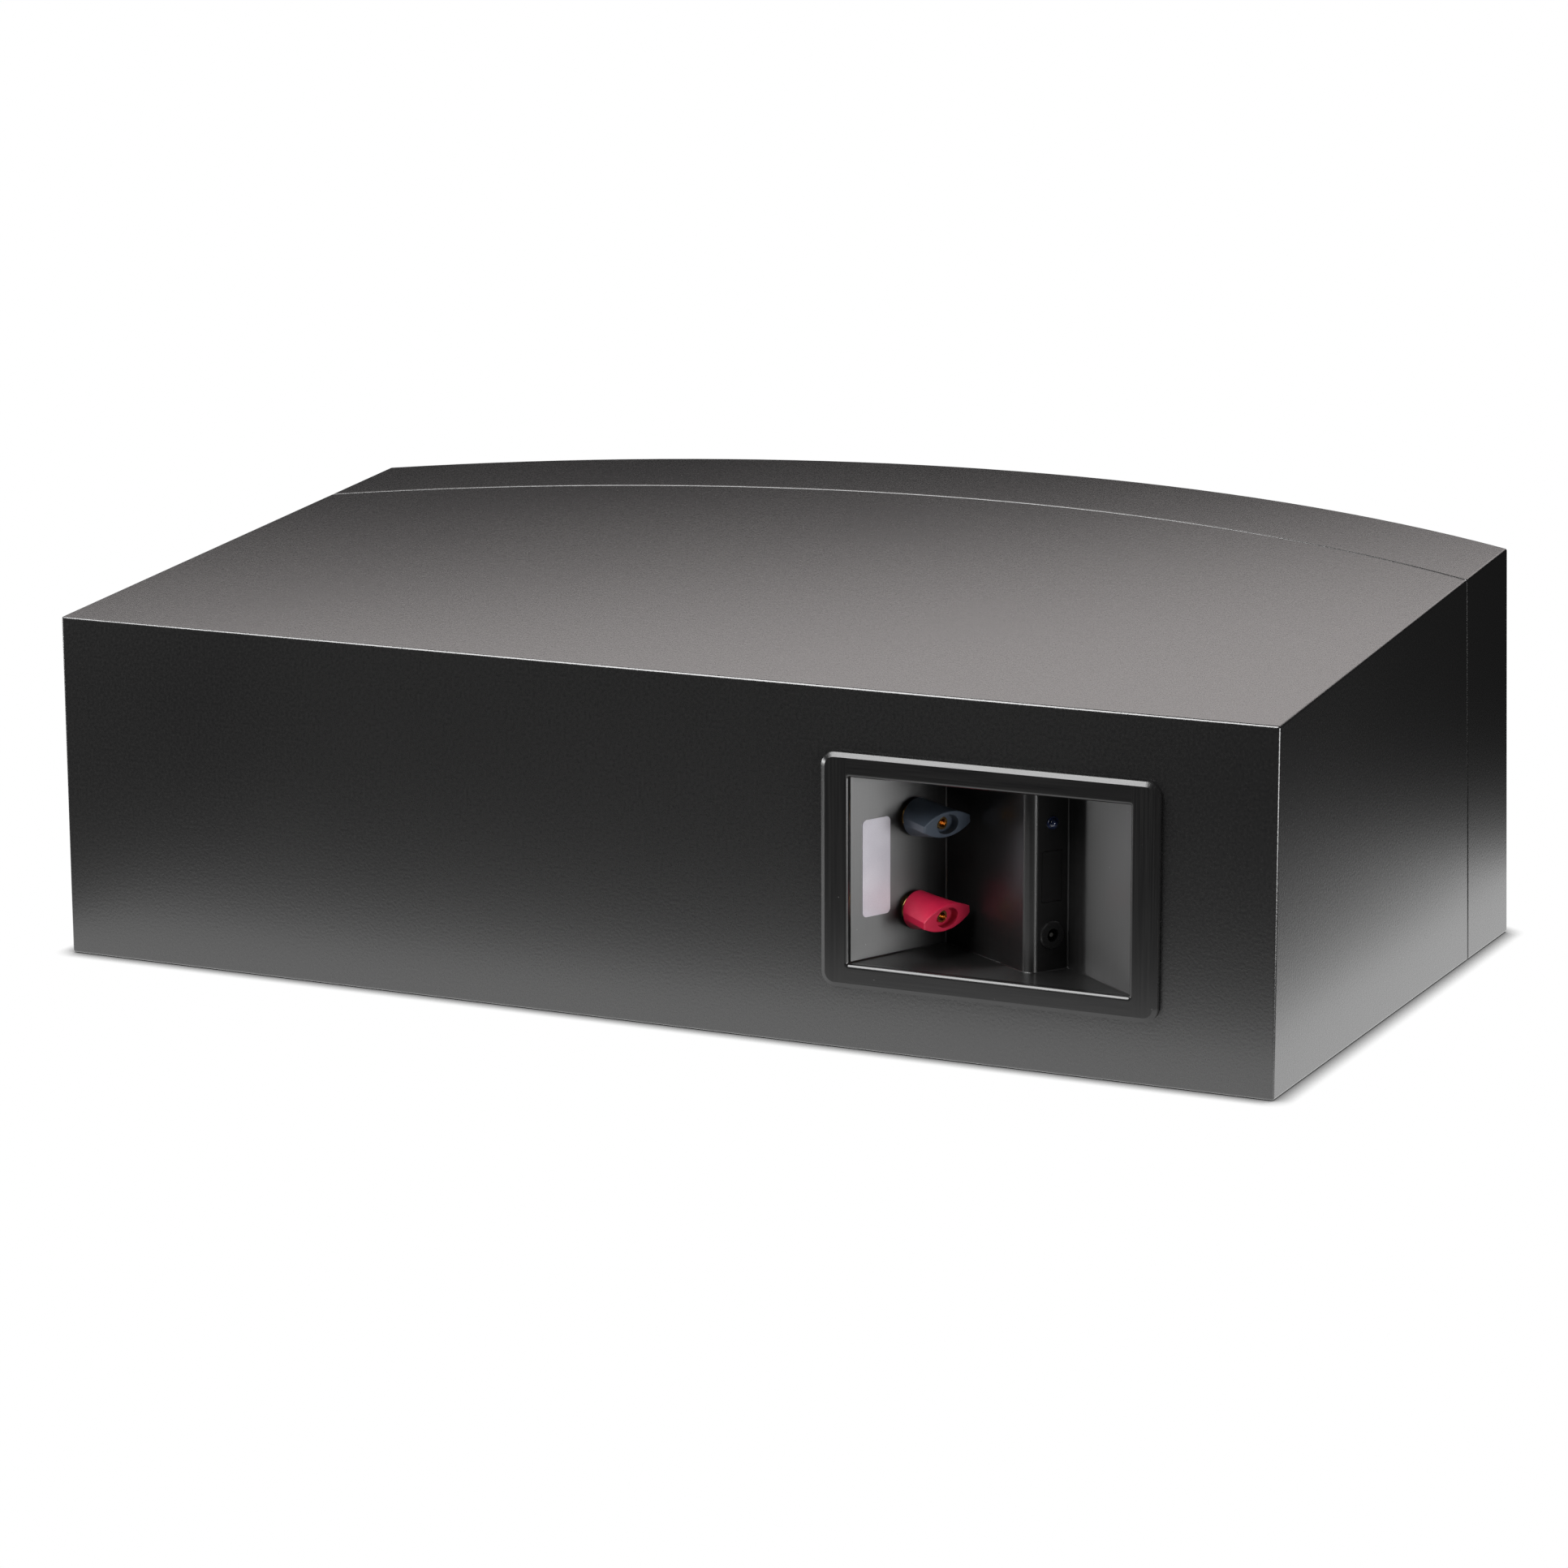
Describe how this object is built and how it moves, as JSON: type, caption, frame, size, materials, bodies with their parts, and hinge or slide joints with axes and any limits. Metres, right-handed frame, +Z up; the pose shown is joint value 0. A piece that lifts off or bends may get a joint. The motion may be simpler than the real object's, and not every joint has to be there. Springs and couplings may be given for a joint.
{
  "type": "center channel speaker",
  "caption": "Wedge-topped speaker cabinet with a bowed front, cloth grille and a recessed terminal cup with winged posts.",
  "frame": {"origin": "on the floor below the middle of the overall box", "axes": "+X to the right seen from the front, -Y out of the front, +Y out of the rear, +Z up"},
  "size_m": [0.65, 0.4409, 0.2112],
  "materials": {
    "satin_black": "satin black paint with a fine pebbled grain",
    "fibreboard": "raw fibreboard",
    "black_board": "matt black paint",
    "black_screw": "black oxide",
    "black_plastic": "moulded",
    "grille_cloth": "black knitted cloth",
    "black_rubber": "matt",
    "stator_black": "black coating",
    "film": "clear film",
    "clear_spacer": "clear strip",
    "cup_plastic": "satin moulded black",
    "black_foam": "closed-cell foam",
    "label_foil": "bare silver foil",
    "lamp_lens": "smoked blue lens",
    "nickel": "nickel plating",
    "red_plastic": "satin raspberry red",
    "slate_plastic": "satin slate",
    "gold": "gold plating",
    "circuit_board": "green board",
    "white_nylon": "nylon",
    "copper": "enamelled copper wire",
    "capacitor_film": "wrapped film",
    "white_ceramic": "cement",
    "core_steel": "varnished laminations",
    "grey_wool": "polyester wool",
    "red_wire": "insulation",
    "black_wire": "insulation",
    "cast_black": "black coating",
    "cone_paper": "coated paper",
    "spider_cloth": "resin cloth",
    "plated_steel": "zinc plating",
    "ferrite": "ferrite"
  },
  "bodies": {
    "speaker": {"baffle_screws": "black_screw", "bare_label": "label_foil", "bias_supply": "black_plastic", "blank_plate": "cup_plastic", "board_standoffs": "white_nylon", "cabinet": "satin_black", "cabinet_brace": "fibreboard", "crossover_board": "circuit_board", "crossover_capacitors": "capacitor_film", "crossover_resistors": "white_ceramic", "cup_gasket": "black_foam", "damping_pad": "grey_wool", "dark_post_stud": "gold", "dark_post_wire": "black_wire", "diaphragm": "film", "driver_baffle": "black_board", "front_frame": "satin_black", "front_stator": "stator_black", "grille_cloth": "grille_cloth", "grille_cups": "black_rubber", "grille_frame": "black_plastic", "left_woofer_basket": "cast_black", "left_woofer_magnet": "ferrite", "left_woofer_spider": "spider_cloth", "left_woofer_surround": "black_rubber", "left_woofer_top_plate": "plated_steel", "left_woofer_yoke": "plated_steel", "panel_clamp": "black_plastic", "panel_coil": "copper", "panel_screws": "black_screw", "panel_spacers": "clear_spacer", "post_nuts": "nickel", "post_tags": "nickel", "power_jack": "black_plastic", "power_jack_nut": "nickel", "power_jack_pin": "nickel", "power_lamp": "lamp_lens", "rear_stator": "stator_black", "red_post_stud": "gold", "red_post_wire": "red_wire", "right_woofer_basket": "cast_black", "right_woofer_magnet": "ferrite", "right_woofer_spider": "spider_cloth", "right_woofer_surround": "black_rubber", "right_woofer_top_plate": "plated_steel", "right_woofer_yoke": "plated_steel", "step_up_transformer": "core_steel", "terminal_cup": "cup_plastic", "woofer_coil": "copper", "woofer_screws": "black_screw"},
    "red_washer": {"red_post_washer": "gold"},
    "red_knob": {"red_post_knob": "red_plastic"},
    "dark_washer": {"dark_post_washer": "gold"},
    "dark_knob": {"dark_post_knob": "slate_plastic"},
    "right_cone": {"right_woofer_cone": "cone_paper", "right_woofer_dust_cap": "cone_paper", "right_woofer_voice_coil": "copper"},
    "left_cone": {"left_woofer_cone": "cone_paper", "left_woofer_dust_cap": "cone_paper", "left_woofer_voice_coil": "copper"}
  },
  "joints": [
    {"name": "red_knob_travel", "type": "slide", "parent": "speaker", "child": "red_washer", "axis": [-0.9104, 0.4138, 0], "range_m": [0, 0.0041]},
    {"name": "red_knob_turn", "type": "hinge", "parent": "red_washer", "child": "red_knob", "pos_m": [-0.12897, 0.18156, 0.0622], "axis": [-0.9104, 0.4138, 0], "range_deg": [0, 1440]},
    {"name": "dark_knob_travel", "type": "slide", "parent": "speaker", "child": "dark_washer", "axis": [-0.9104, 0.4138, 0], "range_m": [0, 0.0041]},
    {"name": "dark_knob_turn", "type": "hinge", "parent": "dark_washer", "child": "dark_knob", "pos_m": [-0.12897, 0.18156, 0.1074], "axis": [-0.9104, 0.4138, 0], "range_deg": [0, 1440]},
    {"name": "right_cone_stroke", "type": "slide", "parent": "speaker", "child": "right_cone", "axis": [0.3582, -0.93, 0.083], "range_m": [-0.004, 0.004], "stiffness_N_per_m": 1300, "deforming": ["right_woofer_surround", "right_woofer_spider"]},
    {"name": "left_cone_stroke", "type": "slide", "parent": "speaker", "child": "left_cone", "axis": [-0.3582, -0.93, 0.083], "range_m": [-0.004, 0.004], "stiffness_N_per_m": 1300, "deforming": ["left_woofer_surround", "left_woofer_spider"]}
  ],
  "couplings": [
    {"joint": "red_knob_travel", "follows": "red_knob_turn", "m_per_rad": 0.00015915},
    {"joint": "dark_knob_travel", "follows": "dark_knob_turn", "m_per_rad": 0.00015915}
  ]
}
